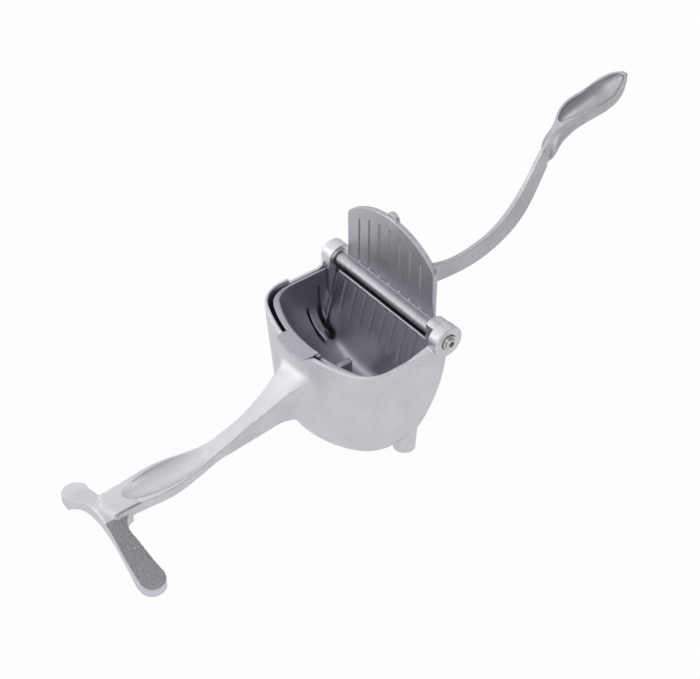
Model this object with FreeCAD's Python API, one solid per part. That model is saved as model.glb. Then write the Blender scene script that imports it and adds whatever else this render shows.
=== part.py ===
import FreeCAD, Part
import math
import os

# Hinged lemon squeezer in cast aluminium, standing open.
# Millimetres. +Z is up, and the bench is at z = 0.
# The hinge pin lies along Y above the origin, with its middle at (0, 0, pin_height).
# The holding handle points along -X and the press lever along +X.

# Hinge
pin_height = 64.1
pin_radius = 2.0
pin_running_gap = 0.05
barrel_radius = 3.0
barrel_end_gap = 0.2
washer_thickness = 0.8
washer_radius = 4.6

# Pot
rim_height = 58.4
pot_half_width = 39.2
pot_front = 51.5
pot_front_radius = 72.0
pot_corner_radius = 18.0
pot_rear = 5.5
pot_rear_corner = 4.0
pot_bottom = 4.6
pot_draft = 0.014
pot_bottom_rounding = 13.0
pot_bottom_inset = 10.0
pot_bottom_corner_loss = 16.0
pot_rear_sweep = 22.5
pot_rear_sweep_start = 50.0
pot_rear_sweep_power = 2.2
pot_front_rounder = 24.0
pot_corner_rounder = 8.0
pot_lip_bulge = 1.5
pot_wall_sections = 6
pot_rounding_sections = 6
rim_wall = 1.5
lower_wall = 2.6
floor_thickness = 3.0
cavity_straight_to = 31.5
thinnest_section = 0.4
corner_wall_share = 0.4
pot_rear_corner_loss = 1.0

# Space between the pot's wall and the strainer cup
cup_gap = 0.3
pour_gap = 1.3
pour_gap_shift = 2.2
pour_gap_radius_ease = 5.0
pour_gap_corner_ease = 1.0

# Pouring lip on the left front corner
lip_height = 2.2
lip_start = 26.0
lip_end = 11.0
lip_root = 1.0
lip_middle_share = 0.8

# Hinge ears
near_ear_thickness = 5.7
ear_front = 4.2
far_ear_proud = 1.2
far_ear_front = 5.4
far_ear_rear = 7.4
near_ear_radius = 7.2
ear_foot_height = 40.0
ear_tuck_height = 50.0
ear_tuck_sink = 0.5
ear_tuck_side_sink = 1.0
ear_tuck_slope = 1.5
far_ear_top = 70.0
boss_radius = 7.6
boss_proud = 5.4
boss_root = 0.5
counterbore_radius = 3.7
counterbore_depth = 2.5
nut_across_flats = 7.0
nut_thickness = 3.0
nut_recess_radius = 4.4
nut_recess_depth = 3.2
near_web_run = 14.0
near_web_rise = 3.6
near_web_crown = 1.0
swell_foot = 42.0
swell_run = 22.0
swell_full_from = 5.0
swell_back = 3.5
swell_step = 1.1
swell_sink = 0.9
swell_inner_sink = 1.3
far_web_run = 4.5
far_web_bow = 0.3
web_root = 3.0

# Hinge screw
head_radius = 3.5
head_height = 3.2
collar_radius = 2.7
collar_height = 1.2
socket_across_flats = 2.5
socket_depth = 2.4

# Legs
leg_back = 13.6
leg_spread = 32.5
leg_foot_radius = 5.3
leg_top_radius = 6.1
leg_height = 17.0

# Holding handle: distance from the pin, half width, top height, underside height
handle_stations = [
    (152.0, 7.8, 23.3, 18.3),
    (145.0, 7.8, 23.3, 18.3),
    (137.0, 8.2, 23.3, 18.3),
    (124.0, 9.1, 23.3, 18.3),
    (113.0, 7.5, 23.3, 18.4),
    (104.0, 5.6, 23.4, 18.8),
    (96.0, 4.3, 24.6, 19.5),
    (89.0, 4.1, 26.7, 19.8),
    (80.0, 3.8, 30.0, 20.1),
    (69.0, 4.8, 35.0, 22.3),
    (59.0, 6.8, 41.0, 23.2),
    (52.0, 11.0, 46.5, 17.2),
    (47.5, 16.0, 50.0, 13.6),
]
dish_middle = 122.0
dish_length = 42.4
dish_width = 15.0
dish_depth = 3.0
dish_roundness = 5.0

# Cross foot at the end of the holding handle
foot_front = 157.0
foot_arm_reach = 38.0
foot_end_radius = 6.0
foot_root_depth = 8.5
foot_fillet = 5.0
foot_root_half_width = 12.8
foot_arch_crown = 23.0
foot_arch_under = 15.8
foot_end_height = 4.8
foot_pad_radius = 7.8
foot_pad_middle = 146.0
foot_pad_step = 0.2
foot_crown_power = 0.92
foot_crown_shares = (0.0, 0.18, 0.4, 0.6, 0.88, 1.0)
foot_under_power = 1.9
foot_under_shares = (0.0, 0.25, 0.55, 0.8, 1.0)
foot_under_reach = 28.1

# Strainer cup
cup_lift_tilt = 25.0
cup_front = 48.2
cup_front_radius = 75.0
cup_corner_radius = 13.3
cup_side_wall = 1.4
cup_front_wall = 2.4
cup_inner_skew = 2.0
cup_rear_top = 1.64
cup_rear_slope = 15.0
cup_rear_wall = 2.2
cup_rear_corner = 3.0
cup_near_drop = 2.2
cup_near_start = 11.5
cup_near_back = 8.0
cup_turn = 110.0
cup_tab_half_width = 10.5
cup_tab_front = 55.2
cup_tab_radius = 50.0
cup_tab_thickness = 1.0
cup_tab_corner = 3.0
rib_pitch = 7.15
rib_count = 10
rib_radius = 0.65
rib_top_margin = 1.8
lug_middle = 23.3
lug_length = 7.6
lug_width = 3.4
lug_top = 34.3
drain_slot_width = 2.6
drain_slot_back = 9.4
drain_slot_top = 50.0
drain_slot_bottom = 24.0
drain_slot_reach = 15.0
second_drain_back = 17.0
second_drain_width = 1.4
second_drain_top = 40.0

# Press plate, measured from the pin when the plate stands upright
plate_half_width = 30.0
plate_height = 39.5
plate_top_radius = 43.5
plate_corner_radius = 4.5
plate_front = 2.4
plate_thickness = 2.5
plate_groove_pitch = 7.15
plate_groove_count = 7
plate_groove_radius = 0.55
plate_groove_start = 3.4
plate_groove_margin = 6.9
plate_tab_half_width = 3.6
plate_tab_top = 42.3
plate_tab_front = 2.9
plate_tab_thickness = 2.5

# Press lever in the middle plane: distance from the pin and height above the bench
lever_half_thickness = 1.25
lever_heel_gap = 0.3
lever_heel_length = 9.0
lever_root = 0.6
lever_upper_edge = [
    (3.6, 96.0),
    (9.0, 82.0),
    (17.0, 72.0),
    (28.0, 66.5),
    (39.5, 63.9),
    (51.8, 64.6),
    (64.2, 68.1),
    (76.0, 76.5),
    (84.5, 86.8),
    (92.0, 99.1),
    (100.5, 112.0),
]
lever_lower_edge = [
    (18.0, 57.7),
    (30.0, 55.7),
    (42.0, 54.7),
    (54.9, 55.3),
    (70.0, 59.6),
    (83.1, 68.2),
    (91.7, 80.6),
    (98.8, 95.0),
    (105.2, 106.6),
]

# Leaf grip at the lever's end: distance from the pin, half width, rim height, underside height
leaf_stations = [
    (97.0, 0.8, 105.6, 94.0),
    (101.0, 1.9, 112.6, 99.8),
    (107.0, 4.7, 116.0, 105.2),
    (115.0, 7.3, 117.8, 108.6),
    (125.0, 8.2, 118.5, 110.4),
    (135.0, 7.6, 121.4, 112.6),
    (141.0, 5.0, 124.0, 115.8),
    (145.6, 1.6, 124.8, 119.0),
]
# Bowl of the leaf grip: distance from the pin, half width, depth under the rim
leaf_bowl_stations = [
    (104.0, 0.7, 1.0),
    (105.3, 2.1, 3.0),
    (108.6, 4.0, 5.4),
    (115.0, 5.9, 7.0),
    (125.0, 6.8, 6.4),
    (135.0, 6.2, 6.8),
    (140.2, 3.9, 5.6),
    (142.6, 2.2, 3.2),
    (143.7, 0.8, 1.2),
]
leaf_side_height = 3.4


# Values that follow from the sizes above
lift_angle = math.radians(cup_lift_tilt)
lift_direction = FreeCAD.Vector(-math.sin(lift_angle), 0, math.cos(lift_angle))
depth_direction = FreeCAD.Vector(-math.cos(lift_angle), 0, -math.sin(lift_angle))
pin_middle = FreeCAD.Vector(0, 0, pin_height)
bore_radius = pin_radius + pin_running_gap
rim_drop = pin_height - rim_height
inner_half_width = pot_half_width - rim_wall
cup_half_width = inner_half_width - cup_gap
ear_inner = pot_half_width - near_ear_thickness
far_ear_outer = pot_half_width + far_ear_proud
boss_face = pot_half_width + boss_proud
barrel_near_end = ear_inner - barrel_end_gap
barrel_far_end = ear_inner - washer_thickness - barrel_end_gap
beyond = 30.0
far_off = 200.0
run_out = 1.0


def plan_point(height):
    """Return a mapping from (distance ahead, sideways) to a point at one height."""
    return lambda ahead, side: FreeCAD.Vector(-ahead, side, height)


def cup_plane_point(ahead, side):
    """Map (distance from the pin, sideways) to the plane square to the cup's lift."""
    return pin_middle + depth_direction * ahead + FreeCAD.Vector(0, side, 0)


def plate_point(ahead, side):
    """Map (height above the pin, sideways) to the press plate's front face."""
    return FreeCAD.Vector(plate_front, side, pin_height + ahead)


def corner_arc(centre, radius, start, end):
    """Return the three points of a short arc from one direction to another."""
    middle = ((start[0] + end[0]), (start[1] + end[1]))
    length = math.hypot(*middle)
    directions = (start, (middle[0] / length, middle[1] / length), end)
    return [(centre[0] + radius * u, centre[1] + radius * w) for u, w in directions]


def front_corner(half_width, front, front_radius, corner, skew, side):
    """Return the arc that joins a straight side to the curved front."""
    centre_ahead = front - front_radius
    centre_side = side * (half_width - corner)
    offset = centre_side - skew
    reach = math.sqrt((front_radius - corner) ** 2 - offset ** 2)
    length = front_radius - corner
    toward = (reach / length, offset / length)
    return corner_arc((centre_ahead + reach, centre_side), corner, (0.0, side), toward)


def outline(place, half_width, front, front_radius, corner, back, back_corner=0.0, skew=0.0):
    """Make a face with straight sides, a curved front and rounded corners."""
    right = front_corner(half_width, front, front_radius, corner, skew, -1)
    left = front_corner(half_width, front, front_radius, corner, skew, 1)
    crown = (front, skew)
    pieces = [right, [right[-1], crown, left[-1]], left[::-1]]
    if back_corner > 0:
        inner = back + back_corner
        side = half_width - back_corner
        left_back = corner_arc((inner, side), back_corner, (0.0, 1.0), (-1.0, 0.0))
        right_back = corner_arc((inner, -side), back_corner, (-1.0, 0.0), (0.0, -1.0))
        pieces.append([left[0], left_back[0]])
        pieces.append(left_back)
        pieces.append([left_back[-1], right_back[0]])
        pieces.append(right_back)
        pieces.append([right_back[-1], right[0]])
    else:
        pieces.append([left[0], (back, half_width)])
        pieces.append([(back, half_width), (back, -half_width)])
        pieces.append([(back, -half_width), right[0]])
    edges = []
    for piece in pieces:
        points = [place(*point) for point in piece]
        if len(points) == 3:
            edges.append(Part.Arc(*points).toShape())
        else:
            edges.append(Part.LineSegment(*points).toShape())
    return Part.Face(Part.Wire(edges))


def spline(points):
    """Return an edge through points."""
    curve = Part.BSplineCurve()
    curve.interpolate(points)
    return curve.toShape()


def face_between(upper, lower):
    """Return the face between two splines that run the same way."""
    edges = [
        spline(upper),
        Part.LineSegment(upper[-1], lower[-1]).toShape(),
        spline(lower),
        Part.LineSegment(lower[0], upper[0]).toShape(),
    ]
    return Part.Face(Part.Wire(Part.__sortEdges__(edges)))


def along_y(radius, start, end, x=0.0, z=pin_height):
    """Return a cylinder along Y between two places."""
    length = end - start
    return Part.makeCylinder(radius, length, FreeCAD.Vector(x, start, z), FreeCAD.Vector(0, 1, 0))


def block(x_range, y_range, z_range):
    """Return a box from its ranges."""
    corner = FreeCAD.Vector(x_range[0], y_range[0], z_range[0])
    sizes = [high - low for low, high in (x_range, y_range, z_range)]
    return Part.makeBox(*sizes, corner)


def hexagon_along_y(across_flats, start, end):
    """Return a hexagonal prism about the pin."""
    radius = across_flats / math.sqrt(3)
    corners = []
    for index in range(7):
        angle = math.radians(60 * index)
        offset = FreeCAD.Vector(radius * math.cos(angle), start, radius * math.sin(angle))
        corners.append(offset + pin_middle)
    face = Part.Face(Part.makePolygon(corners))
    return face.extrude(FreeCAD.Vector(0, end - start, 0))


def mirror_side(shape):
    """Return the shape's copy on the other side of the middle plane."""
    return shape.mirror(FreeCAD.Vector(0, 0, 0), FreeCAD.Vector(0, 1, 0))


def rounded_inset(height):
    """Return how far the pot's side has come in at a height, with its draft and rounding."""
    inset = (rim_height - height) * pot_draft
    rise = height - pot_bottom
    if rise < pot_bottom_rounding:
        across = pot_bottom_rounding - rise
        share = 1 - math.sqrt(1 - (across / pot_bottom_rounding) ** 2)
        inset += pot_bottom_inset * share
    return inset


def pot_rear_at(height):
    """Return the pot's rear face at a height: it sweeps forwards towards the bottom."""
    if height >= pot_rear_sweep_start:
        return pot_rear
    share = (pot_rear_sweep_start - height) / (pot_rear_sweep_start - pot_bottom)
    return pot_rear - pot_rear_sweep * share ** pot_rear_sweep_power


def pot_heights(lowest):
    """Return the heights of the pot's sections from the rim to a lowest one."""
    start = pot_bottom + pot_bottom_rounding
    span = rim_height - start
    heights = [rim_height - span * step / pot_wall_sections for step in range(pot_wall_sections + 1)]
    for step in range(1, pot_rounding_sections):
        angle = 0.5 * math.pi * step / pot_rounding_sections
        height = start - pot_bottom_rounding * math.sin(angle)
        if height > lowest + thinnest_section:
            heights.append(height)
    return heights + [lowest]


def pot_section(height, wall):
    """Return the pot's outline at a height, drawn in by a wall."""
    rounding = rounded_inset(height)
    inset = rounding + wall
    share = (rim_height - height) / (rim_height - pot_bottom)
    rounded_share = max(0.0, rounding - (rim_height - height) * pot_draft) / pot_bottom_inset
    radius = pot_front_radius - pot_front_rounder * share - inset
    corner = pot_corner_radius + pot_corner_rounder * share
    corner -= pot_bottom_corner_loss * rounded_share + corner_wall_share * wall
    rear_corner = pot_rear_corner - pot_rear_corner_loss * rounded_share
    back = -(pot_rear_at(height) - wall)
    face = outline(
        plan_point(height), pot_half_width - inset, pot_front - inset, radius, corner,
        back, rear_corner, pot_lip_bulge * (1 - share),
    )
    return face.OuterWire


def make_pot_shell():
    """Return the pot's outer form, solid."""
    wires = [pot_section(height, 0.0) for height in pot_heights(pot_bottom)]
    return Part.makeLoft(wires, True, False)


def cavity_wall(height):
    """Return the wall at a height: the inside is straight beside the cup, then thickens."""
    wall = rim_wall - (rim_height - height) * pot_draft
    start = pot_bottom + pot_bottom_rounding
    if height < cavity_straight_to:
        share = min(1.0, (cavity_straight_to - height) / (cavity_straight_to - start))
        wall += (lower_wall - wall) * share
    return wall


def make_pot_cavity():
    """Return the space inside the pot, running out above the rim."""
    heights = pot_heights(pot_bottom + floor_thickness)
    rim_face = outline(
        plan_point(rim_height), inner_half_width, cup_front + pour_gap,
        cup_front_radius - pour_gap_radius_ease, cup_corner_radius + pour_gap_corner_ease,
        lower_wall - pot_rear, pot_rear_corner, pour_gap_shift,
    )
    wires = [rim_face.OuterWire]
    wires += [pot_section(height, cavity_wall(height)) for height in heights[1:]]
    lower = Part.makeLoft(wires, True, True)
    upper = rim_face.extrude(FreeCAD.Vector(0, 0, beyond))
    return upper.fuse(lower)


def make_lip(shell_top, cavity):
    """Return the raised pouring lip, which falls away towards the tab."""
    ring = shell_top.cut(cavity)
    low = rim_height - lip_root
    middle = 0.5 * (lip_end + pot_half_width)
    points = [
        FreeCAD.Vector(-lip_start, lip_end, low),
        FreeCAD.Vector(-lip_start, lip_end, rim_height),
        FreeCAD.Vector(-lip_start, middle, rim_height + lip_middle_share * lip_height),
        FreeCAD.Vector(-lip_start, pot_half_width, rim_height + lip_height),
        FreeCAD.Vector(-lip_start, pot_half_width + beyond, rim_height + lip_height),
        FreeCAD.Vector(-lip_start, pot_half_width + beyond, low),
    ]
    face = Part.Face(Part.makePolygon(points + points[:1]))
    return ring.common(face.extrude(FreeCAD.Vector(-beyond - lip_start, 0, 0)))


def make_upright(front, rear, outer, crown_z):
    """Return an ear's post on the left side, which runs down into the pot's corner."""
    tuck_x = pot_rear - ear_tuck_sink
    tuck_y = pot_half_width - ear_tuck_side_sink
    side_points = [
        (-front, ear_foot_height),
        (-front, crown_z),
        (rear, crown_z),
        (rear, rim_height),
        (tuck_x, ear_tuck_height),
        (tuck_x - ear_tuck_slope, ear_foot_height),
    ]
    end_points = [
        (ear_inner, ear_foot_height),
        (ear_inner, crown_z),
        (outer, crown_z),
        (outer, rim_height),
        (tuck_y, ear_tuck_height),
        (tuck_y, ear_foot_height),
    ]
    side_view = [FreeCAD.Vector(x, 0, z) for x, z in side_points + side_points[:1]]
    end_view = [FreeCAD.Vector(-beyond, y, z) for y, z in end_points + end_points[:1]]
    from_side = Part.Face(Part.makePolygon(side_view)).extrude(FreeCAD.Vector(0, 2 * outer, 0))
    from_end = Part.Face(Part.makePolygon(end_view)).extrude(FreeCAD.Vector(2 * beyond, 0, 0))
    return from_side.common(from_end)


def make_web(points, low_y, high_y):
    """Return a web on the rim that leads up to an ear."""
    outline_points = [FreeCAD.Vector(x, low_y, z) for x, z in points + points[:1]]
    face = Part.Face(Part.makePolygon(outline_points))
    return face.extrude(FreeCAD.Vector(0, high_y - low_y, 0))


def make_far_ear():
    """Return the plain ear on the left side."""
    top_radius = 0.5 * (far_ear_rear + far_ear_front)
    middle_x = far_ear_rear - top_radius
    crown_z = far_ear_top - top_radius
    upright = make_upright(far_ear_front, far_ear_rear, far_ear_outer, crown_z)
    crown = along_y(top_radius, ear_inner, far_ear_outer, middle_x, crown_z)
    foot = rim_height - web_root
    web = make_web([
        (0, foot),
        (-far_ear_front - far_web_run, foot),
        (-far_ear_front - far_web_run, rim_height),
        (-far_ear_front - far_web_bow * far_web_run, rim_height + far_web_bow * far_web_run),
        (-far_ear_front, rim_height + far_web_run),
        (0, rim_height + far_web_run),
    ], inner_half_width, pot_half_width)
    return upright.fuse([crown, web])


def make_swell():
    """Return the wall's swell outwards to the boss, under the top line of its web."""
    base = swell_sink - pot_half_width
    inner = swell_inner_sink - pot_half_width
    full = swell_step - boss_face
    sections = []
    for height, front_y in ((swell_foot, base), (pin_height, full)):
        points = [
            (-swell_run, base), (-swell_full_from, front_y), (0, front_y),
            (swell_back, base), (swell_back, inner), (-swell_run, inner),
        ]
        corners = [FreeCAD.Vector(x, y, height) for x, y in points]
        sections.append(Part.makePolygon(corners + corners[:1]))
    wedge = Part.makeLoft(sections, True, True)
    under_line = make_web([
        (swell_back, swell_foot),
        (-swell_run, swell_foot),
        (-swell_run, rim_height),
        (-ear_front - near_web_run, rim_height),
        (-ear_front, rim_height + near_web_rise),
        (0, rim_height + near_web_rise + near_web_crown),
        (swell_back, rim_height + near_web_rise + near_web_crown),
    ], -boss_face, inner)
    return wedge.common(under_line)


def make_near_ear():
    """Return the ear on the right side: flat in front, with its round boss and swell."""
    face_y = -pot_half_width
    upright = mirror_side(make_upright(ear_front, near_ear_radius, pot_half_width, pin_height))
    ahead = block((-far_off, -ear_front), (-far_off, far_off), (0, far_off))
    crown = along_y(near_ear_radius, face_y, -ear_inner).cut(ahead)
    boss = along_y(boss_radius, -boss_face, face_y + boss_root)
    foot = rim_height - web_root
    web = make_web([
        (0, foot),
        (-ear_front - near_web_run, foot),
        (-ear_front - near_web_run, rim_height),
        (-ear_front, rim_height + near_web_rise),
        (0, rim_height + near_web_rise + near_web_crown),
    ], face_y, -inner_half_width)
    return upright.fuse([crown, boss, web, make_swell()])


def make_leg():
    """Return one round leg under the pot."""
    return Part.makeCone(
        leg_foot_radius, leg_top_radius, leg_height, FreeCAD.Vector(-leg_back, leg_spread, 0),
    )


def make_handle():
    """Return the holding handle with its shallow thumb dish."""
    left = [FreeCAD.Vector(-d, half, 0) for d, half, _, _ in handle_stations]
    right = [FreeCAD.Vector(-d, -half, 0) for d, half, _, _ in handle_stations]
    plan = face_between(left, right).extrude(FreeCAD.Vector(0, 0, rim_height))
    start = FreeCAD.Vector(0, -beyond, 0)
    upper = [FreeCAD.Vector(-d, 0, top) + start for d, _, top, _ in handle_stations]
    lower = [FreeCAD.Vector(-d, 0, under) + start for d, _, _, under in handle_stations]
    profile = face_between(upper, lower).extrude(FreeCAD.Vector(0, 2 * beyond, 0))
    handle = plan.common(profile)
    return handle.cut(make_dish())


def make_dish():
    """Return the ellipsoid that hollows the handle's top."""
    top = handle_stations[1][2]
    lift = dish_roundness - dish_depth
    share = math.sqrt(1 - (lift / dish_roundness) ** 2)
    matrix = FreeCAD.Matrix()
    matrix.scale(0.5 * dish_length / share, 0.5 * dish_width / share, dish_roundness)
    dish = Part.makeSphere(1.0).transformGeometry(matrix)
    dish.translate(FreeCAD.Vector(-dish_middle, 0, top + lift))
    return dish


def make_foot():
    """Return the arched cross foot at the handle's end."""
    end_y = foot_arm_reach - foot_end_radius
    inner = foot_front - foot_root_depth
    pad_y = foot_root_half_width - foot_fillet
    turn = 1 - math.sqrt(0.5)
    tip_inner = foot_front - 2 * foot_end_radius
    half = [
        (foot_front, 0.0),
        (foot_front, end_y),
        (foot_front - foot_end_radius, foot_arm_reach),
        (tip_inner, end_y),
        (inner, foot_root_half_width),
        (inner - turn * foot_fillet, foot_root_half_width - (1 - turn) * foot_fillet),
        (inner - foot_fillet, pad_y),
        (inner - foot_fillet, 0.0),
    ]
    place = plan_point(0.0)
    points = [place(*point) for point in half]
    edges = [
        Part.LineSegment(points[0], points[1]).toShape(),
        Part.Arc(points[1], points[2], points[3]).toShape(),
        Part.LineSegment(points[3], points[4]).toShape(),
        Part.Arc(points[4], points[5], points[6]).toShape(),
        Part.LineSegment(points[6], points[7]).toShape(),
        Part.LineSegment(points[7], points[0]).toShape(),
    ]
    plan = Part.Face(Part.Wire(edges)).extrude(FreeCAD.Vector(0, 0, rim_height))
    reach = foot_arm_reach + run_out
    fall = foot_arch_crown - foot_end_height
    upper = []
    lower = []
    for share in foot_crown_shares:
        drop = 1 - 0.5 * (1 + math.cos(math.pi * share ** foot_crown_power))
        upper.append(FreeCAD.Vector(-foot_front, share * reach, foot_arch_crown - fall * drop))
    for share in foot_under_shares:
        height = foot_arch_under * (1 - share ** foot_under_power)
        lower.append(FreeCAD.Vector(-foot_front, share * foot_under_reach, height))
    end = FreeCAD.Vector(-foot_front, reach, 0.0)
    arch_edges = [
        spline(upper),
        Part.LineSegment(upper[-1], end).toShape(),
        Part.LineSegment(end, lower[-1]).toShape(),
        spline(lower[::-1]),
        Part.LineSegment(lower[0], upper[0]).toShape(),
    ]
    arch = Part.Face(Part.Wire(arch_edges)).extrude(FreeCAD.Vector(beyond, 0, 0))
    arm = plan.common(arch)
    pad_top = handle_stations[1][2] + foot_pad_step
    pad_under = handle_stations[1][3]
    pad = Part.makeCylinder(
        foot_pad_radius, pad_top - pad_under, FreeCAD.Vector(-foot_pad_middle, 0, pad_under),
    )
    return arm.fuse([mirror_side(arm), pad]).cut(make_dish())


def make_pot():
    """Return the pot casting: bowl, lip, ears, legs, handle and cross foot."""
    shell = make_pot_shell()
    cavity = make_pot_cavity()
    rim_ring = Part.Face(pot_section(rim_height, 0.0)).extrude(FreeCAD.Vector(0, 0, beyond))
    leg = make_leg()
    body = shell.fuse([leg, mirror_side(leg), make_handle()]).cut(cavity)
    lip = make_lip(rim_ring, cavity)
    body = body.fuse([make_far_ear(), make_near_ear(), lip, make_foot()])
    holes = [
        along_y(bore_radius, -boss_face - run_out, far_ear_outer + run_out),
        along_y(counterbore_radius, -boss_face - run_out, counterbore_depth - boss_face),
        along_y(nut_recess_radius, far_ear_outer - nut_recess_depth, far_ear_outer + run_out),
        along_y(washer_radius + cup_gap, ear_inner - washer_thickness - cup_gap, ear_inner),
    ]
    return body.cut(holes).removeSplitter()


def cup_space(side_inset, front_inset, skew):
    """Return the cup's form: straight along its lift, then turned about the pin."""
    front = math.cos(lift_angle) * cup_front + math.sin(lift_angle) * rim_drop - front_inset
    face = outline(
        cup_plane_point, cup_half_width - side_inset, front, cup_front_radius - front_inset,
        cup_corner_radius - side_inset, 0.0, 0.0, skew,
    )
    straight = face.extrude(lift_direction * 2 * beyond)
    turned = face.revolve(pin_middle, FreeCAD.Vector(0, -1, 0), cup_turn)
    return straight.fuse(turned)


def rear_space(offset):
    """Return the space ahead of the cup's sloping rear wall, with its round corners."""
    slope = math.tan(math.radians(cup_rear_slope))
    top = rim_height + beyond
    rear_top = cup_rear_top - offset - slope * beyond
    half_width = cup_half_width - cup_side_wall + offset
    corner = cup_rear_corner + offset
    face = outline(
        plan_point(top), half_width, 2 * cup_front, far_off, cup_tab_corner, rear_top, corner,
    )
    return face.extrude(FreeCAD.Vector(-slope * top, 0, -top))


def below(height):
    """Return all the space that the part uses below a height."""
    return block((-far_off, far_off), (-far_off, far_off), (-beyond, height))


def make_cup_body():
    """Return the strainer cup's bowl, open at the top."""
    outer = cup_space(0.0, 0.0, 0.0).common(rear_space(cup_rear_wall))
    inner = cup_space(cup_side_wall, cup_front_wall, -cup_inner_skew).common(rear_space(0.0))
    bowl = outer.common(below(rim_height)).cut(inner)
    return bowl, outer, inner


def make_rear_relief(radius, low, high):
    """Return the space that a round about the pin needs when the cup slides out past it."""
    start = pin_middle + depth_direction * (radius + cup_gap) - lift_direction * 2 * beyond
    normal_side = depth_direction * -2 * beyond
    corners = [
        start,
        start + lift_direction * 4 * beyond,
        start + lift_direction * 4 * beyond + normal_side,
        start + normal_side,
    ]
    across = FreeCAD.Vector(0, low, 0)
    face = Part.Face(Part.makePolygon([p + across for p in corners + corners[:1]]))
    return face.extrude(FreeCAD.Vector(0, high - low, 0))


def make_cup_tab():
    """Return the lifting tab that rests on the pot's front rim."""
    face = outline(
        plan_point(rim_height), cup_tab_half_width, cup_tab_front, cup_tab_radius,
        cup_tab_corner, cup_front - 2 * cup_front_wall,
    )
    return face.extrude(FreeCAD.Vector(0, 0, cup_tab_thickness))


def make_lug(outer):
    """Return the stop lug that stands on the cup's floor."""
    lug = block(
        (-lug_middle - 0.5 * lug_length, -lug_middle + 0.5 * lug_length),
        (-0.5 * lug_width, 0.5 * lug_width),
        (pot_bottom, lug_top),
    )
    return lug.common(outer)


def make_drain(back, width, top):
    """Return one drain slot through the left side wall."""
    sideways = (cup_half_width - drain_slot_reach, cup_half_width + drain_slot_reach)
    return block((-back - width, -back), sideways, (drain_slot_bottom, top))


def make_ribs():
    """Return the round grooves on the cup's rear wall."""
    slope = math.radians(cup_rear_slope)
    down = FreeCAD.Vector(-math.sin(slope), 0, -math.cos(slope))
    top = FreeCAD.Vector(-cup_rear_top, 0, rim_height)
    length = plate_height - rim_drop
    grooves = []
    for index in range(rib_count):
        side = (index - 0.5 * (rib_count - 1)) * rib_pitch
        if abs(side) < cup_half_width - cup_rear_corner:
            start = top + down * rib_top_margin + FreeCAD.Vector(0, side, 0)
            grooves.append(Part.makeCylinder(rib_radius, length, start, down))
            grooves.append(Part.makeSphere(rib_radius, start))
    return grooves


def make_cup():
    """Return the strainer cup with its lifting tab, ribs, lug and drains."""
    bowl, outer, inner = make_cup_body()
    tab = make_cup_tab().cut(inner)
    cup = bowl.fuse([tab, make_lug(outer)])
    outside = 2 * pot_half_width
    ear_side = ear_inner - cup_gap
    washer_side = ear_inner - washer_thickness - cup_gap
    cut = [
        make_rear_relief(barrel_radius, -outside, outside),
        make_rear_relief(washer_radius, washer_side, outside),
        block((-ear_front - cup_gap, outside), (-outside, -ear_side), (0, outside)),
        block((-far_ear_front - cup_gap, outside), (ear_side, outside), (0, outside)),
        block((-outside, -cup_near_back), (-outside, -cup_near_start),
              (rim_height - cup_near_drop, outside)),
    ]
    for back, width, top in (
        (drain_slot_back, drain_slot_width, drain_slot_top),
        (second_drain_back, second_drain_width, second_drain_top),
    ):
        slot = make_drain(back, width, top)
        cut.extend([slot, mirror_side(slot)])
    return cup.cut(cut + make_ribs()).removeSplitter()


def make_plate():
    """Return the grooved press plate with its small tab."""
    face = outline(
        plate_point, plate_half_width, plate_height, plate_top_radius,
        plate_corner_radius, 0.0,
    )
    plate = face.extrude(FreeCAD.Vector(plate_thickness, 0, 0))
    tab_centre = pin_height + plate_tab_top - plate_tab_half_width
    tab = Part.makeCylinder(
        plate_tab_half_width, plate_tab_thickness,
        FreeCAD.Vector(plate_tab_front, 0, tab_centre), FreeCAD.Vector(1, 0, 0),
    )
    grooves = []
    for index in range(plate_groove_count):
        side = (index - 0.5 * (plate_groove_count - 1)) * plate_groove_pitch
        crown = math.sqrt(plate_top_radius ** 2 - side ** 2) - plate_top_radius + plate_height
        top = crown - plate_groove_margin
        start = FreeCAD.Vector(plate_front, side, pin_height + plate_groove_start)
        end = FreeCAD.Vector(plate_front, side, pin_height + top)
        length = top - plate_groove_start
        up = FreeCAD.Vector(0, 0, 1)
        grooves.append(Part.makeCylinder(plate_groove_radius, length, start, up))
        grooves.append(Part.makeSphere(plate_groove_radius, end))
    return plate.fuse(tab).cut(grooves)


def make_lever():
    """Return the bent lever blade in the middle plane."""
    side = -lever_half_thickness
    heel = rim_height + lever_heel_gap
    upper = [FreeCAD.Vector(x, side, z) for x, z in lever_upper_edge]
    lower = [FreeCAD.Vector(x, side, z) for x, z in lever_lower_edge]
    heel_end = FreeCAD.Vector(lever_heel_length, side, heel)
    heel_start = FreeCAD.Vector(plate_front + lever_root, side, heel)
    edges = [
        spline(upper),
        Part.LineSegment(upper[-1], lower[-1]).toShape(),
        spline([heel_end] + lower),
        Part.LineSegment(heel_end, heel_start).toShape(),
        Part.LineSegment(heel_start, upper[0]).toShape(),
    ]
    face = Part.Face(Part.Wire(Part.__sortEdges__(edges)))
    return face.extrude(FreeCAD.Vector(0, 2 * lever_half_thickness, 0))


def leaf_section(x, half_width, rim, under):
    """Return a boat-shaped section of the leaf grip."""
    shoulder = rim - leaf_side_height
    points = [
        FreeCAD.Vector(x, half_width, rim),
        FreeCAD.Vector(x, half_width, shoulder),
        FreeCAD.Vector(x, 0, under),
        FreeCAD.Vector(x, -half_width, shoulder),
        FreeCAD.Vector(x, -half_width, rim),
    ]
    return Part.Wire([
        Part.LineSegment(points[0], points[1]).toShape(),
        Part.Arc(points[1], points[2], points[3]).toShape(),
        Part.LineSegment(points[3], points[4]).toShape(),
        Part.LineSegment(points[4], points[0]).toShape(),
    ])


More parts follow.
